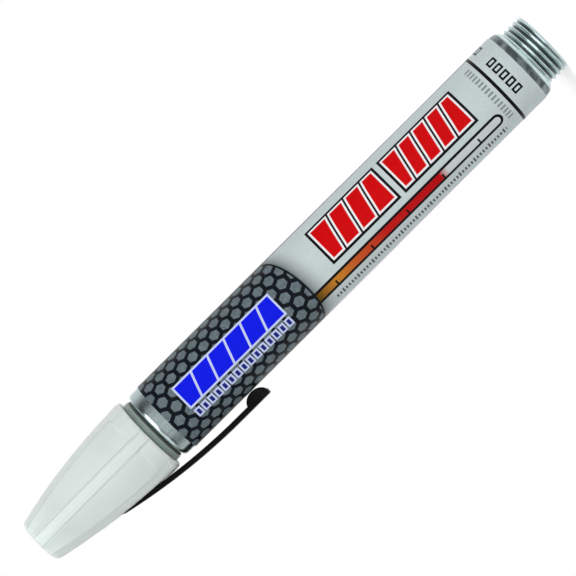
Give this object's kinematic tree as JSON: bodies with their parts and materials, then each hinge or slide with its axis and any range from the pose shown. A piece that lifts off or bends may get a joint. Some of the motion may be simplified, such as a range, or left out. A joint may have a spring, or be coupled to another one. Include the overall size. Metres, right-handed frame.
{
  "type": "paint marker",
  "caption": "Valve-action paint marker with an aluminium barrel, printed sleeve, threaded tail, fluted screw cap and pocket clip.",
  "frame": {"origin": "centre of the flat tail face, on the marker's axis", "axes": "+Z along the marker from its tail to the tip of its cap, -Y towards the printed front, -X towards the pocket clip"},
  "size_m": [0.0197, 0.0176, 0.1397],
  "materials": {
    "barrel_aluminium": "drawn, with fine streaks along the axis",
    "printed_film": "satin printed film",
    "cap_plastic": "satin moulding",
    "collar_plastic": "satin moulding",
    "liner_plastic": "soft translucent moulding",
    "valve_plastic": "natural moulding",
    "clip_black": "smooth black paint",
    "rubber": "matt",
    "felt": "pressed felt",
    "steel": "bright"
  },
  "bodies": {
    "barrel": {"barrel": "barrel_aluminium", "label_sleeve": "printed_film", "front_section": "collar_plastic", "front_gasket": "rubber", "nib_wadding": "felt", "valve_seat": "rubber", "valve_housing": "valve_plastic", "valve_spring": "steel", "spring_retainer": "valve_plastic"},
    "nib": {"nib": "felt", "valve_rod": "valve_plastic"},
    "mixing_ball_1": {"mixing_ball_1": "steel"},
    "mixing_ball_2": {"mixing_ball_2": "steel"},
    "cap_seal": {"cap_seal_disc": "rubber"},
    "cap_liner": {"cap_liner": "liner_plastic"},
    "cap": {"cap_shell": "cap_plastic"},
    "clip": {"clip": "clip_black"}
  },
  "joints": [
    {"name": "nib_press", "type": "slide", "parent": "barrel", "child": "nib", "axis": [0, 0, -1], "range_m": [0, 0.0015], "stiffness_N_per_m": 300, "springref_m": -0.002, "deforming": ["valve_spring"]},
    {"name": "mixing_ball_1_run", "type": "slide", "parent": "barrel", "child": "mixing_ball_1", "axis": [0, 0, 1], "range_m": [0, 0.084]},
    {"name": "mixing_ball_2_run", "type": "slide", "parent": "barrel", "child": "mixing_ball_2", "axis": [0, 0, 1], "range_m": [0, 0.084]},
    {"name": "cap_pull", "type": "slide", "parent": "barrel", "child": "cap_seal", "axis": [0, 0, 1], "range_m": [0, 0.027]},
    {"name": "cap_rise", "type": "slide", "parent": "cap_seal", "child": "cap_liner", "axis": [0, 0, 1], "range_m": [0, 0.003]},
    {"name": "cap_turn", "type": "hinge", "parent": "cap_liner", "child": "cap", "pos_m": [0, 0, 0.1092], "axis": [0, 0, 1], "range_deg": [0, 540]},
    {"name": "clip_flex", "type": "hinge", "parent": "cap", "child": "clip", "pos_m": [-0.007, 0, 0.123], "axis": [0, 1, 0], "range_deg": [0, 6], "stiffness_Nm_per_rad": 0.03}
  ],
  "couplings": [
    {"joint": "cap_turn", "follows": "cap_rise", "rad_per_m": 3141.6}
  ]
}
